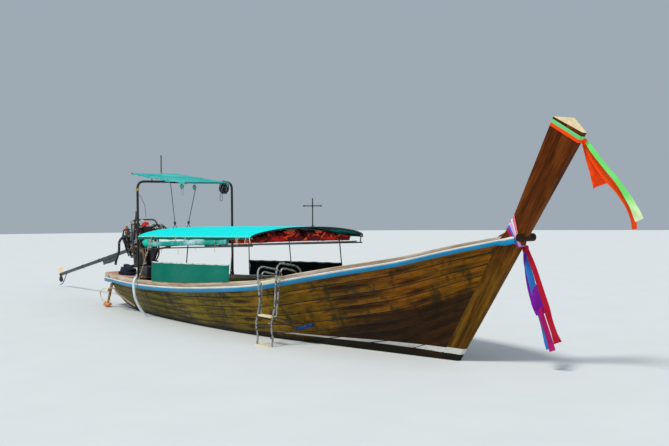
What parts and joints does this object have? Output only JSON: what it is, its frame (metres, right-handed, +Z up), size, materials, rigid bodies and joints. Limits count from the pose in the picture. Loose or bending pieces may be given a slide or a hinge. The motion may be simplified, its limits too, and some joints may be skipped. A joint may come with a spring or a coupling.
{
  "type": "longtail boat",
  "caption": "Slender open wooden boat with a tall raked stem, tarpaulin canopy, stern arch, boarding ladder, and an engine on a stern swivel driving a long propeller shaft.",
  "frame": {"origin": "on the waterline and the centreline, amidships between the ends of the hull", "axes": "+X to the bow, +Y to port, +Z up"},
  "size_m": [16.1673, 2.1656, 3.1107],
  "materials": {
    "hull_planks": "varnished amber-brown planks",
    "hull_bottom": "dark red-brown oiled planks",
    "keel": "dark oiled timber",
    "gunwale_board": "bare pale timber",
    "rub_rail": "blue paint with a white top edge",
    "stem": "varnished warm brown timber",
    "crosspiece": "dark timber",
    "transom": "varnished timber",
    "ribs": "oiled timber",
    "floor": "worn timber",
    "thwart": "worn varnished timber",
    "foredeck": "varnished timber",
    "stern_deck": "worn reddish timber",
    "stern_rail": "blue paint with a white top edge",
    "canopy_frame": "dark paint",
    "canopy_bows": "dark paint",
    "stowage_rack": "dark worn slats",
    "canopy_sheet": "bright turquoise tarpaulin",
    "side_curtain_dark": "dark blue-green woven tarpaulin",
    "side_curtain": "bright green woven tarpaulin",
    "life_jackets": "orange and dark red cloth over foam",
    "canopy_mast": "dull grey",
    "stern_arch": "black paint",
    "roof_frame": "weathered grey poles",
    "roof_sheet": "faded turquoise tarpaulin",
    "ladder": "pale tube",
    "battery_box": "black plastic",
    "fuel_box": "dark plastic",
    "pivot_socket": "greasy iron",
    "stern_stake": "amber timber",
    "stern_float": "orange plastic",
    "water_hose": "white plastic hose",
    "overflow_hose": "black rubber hose",
    "cooling_hose": "hose wound with brown cord",
    "ribbon_upper": "green and orange cloth",
    "ribbon_lower": "purple, red and blue cloth",
    "yoke": "worn iron",
    "cradle": "oily iron",
    "engine_block": "oily dark iron",
    "cylinder_head": "faded red paint",
    "gearbox": "oily iron",
    "air_bottle": "rust-brown paint",
    "exhaust": "burnt rusty metal",
    "alternator": "dull cast metal",
    "engine_guard": "black paint",
    "tiller": "black paint",
    "shaft_tube": "dark worn paint",
    "propeller": "worn brass"
  },
  "bodies": {
    "hull": {"upper_planking_port": "hull_planks", "lower_planking_port": "hull_bottom", "keel": "keel", "gunwale_board_port": "gunwale_board", "rub_rail_port": "rub_rail", "stem_post": "stem", "bow_crosspiece": "crosspiece", "transom": "transom", "ribs_and_keelson": "ribs", "floor_boards": "floor", "thwart_1": "thwart", "foredeck": "foredeck", "stern_deck": "stern_deck", "stern_rail": "stern_rail", "canopy_side_port": "canopy_frame", "canopy_bows": "canopy_bows", "stowage_rack": "stowage_rack", "canopy_sheet": "canopy_sheet", "side_curtain_port": "side_curtain_dark", "side_curtain_starboard": "side_curtain", "life_jackets_port": "life_jackets", "canopy_mast": "canopy_mast", "stern_arch": "stern_arch", "roof_frame": "roof_frame", "roof_sheet": "roof_sheet", "ladder": "ladder", "battery_box": "battery_box", "fuel_box": "fuel_box", "pivot_socket": "pivot_socket", "stern_stake": "stern_stake", "stern_float": "stern_float", "water_hose": "water_hose", "bow_ribbon_upper": "ribbon_upper", "bow_ribbon_lower": "ribbon_lower", "upper_planking_starboard": "hull_planks", "lower_planking_starboard": "hull_bottom", "canopy_side_starboard": "canopy_frame", "gunwale_board_starboard": "gunwale_board", "rub_rail_starboard": "rub_rail", "life_jackets_starboard": "life_jackets", "thwart_2": "thwart", "thwart_3": "thwart", "thwart_4": "thwart", "thwart_5": "thwart"},
    "swivel": {"swivel_yoke": "yoke"},
    "engine": {"engine_cradle": "cradle", "engine_block": "engine_block", "cylinder_head": "cylinder_head", "gearbox": "gearbox", "air_bottle": "air_bottle", "exhaust_pipe": "exhaust", "alternator": "alternator", "engine_guard": "engine_guard", "tiller": "tiller", "shaft_tube": "shaft_tube", "overflow_hose": "overflow_hose", "cooling_hose": "cooling_hose"},
    "propeller": {"propeller": "propeller"}
  },
  "joints": [
    {"name": "engine_swivel", "type": "hinge", "parent": "hull", "child": "swivel", "pos_m": [-4.3, 0, 0.6], "axis": [0, 0, 1], "range_deg": [-44.3, 55.7]},
    {"name": "engine_tilt", "type": "hinge", "parent": "swivel", "child": "engine", "pos_m": [-4.3, 0, 0.72], "axis": [0.0993, 0.9951, 0], "range_deg": [-6, 12]},
    {"name": "propeller_spin", "type": "hinge", "parent": "engine", "child": "propeller", "pos_m": [-9.90805, 0.55976, 0.28765], "axis": [0.9839, -0.0982, 0.1495], "continuous": true}
  ]
}
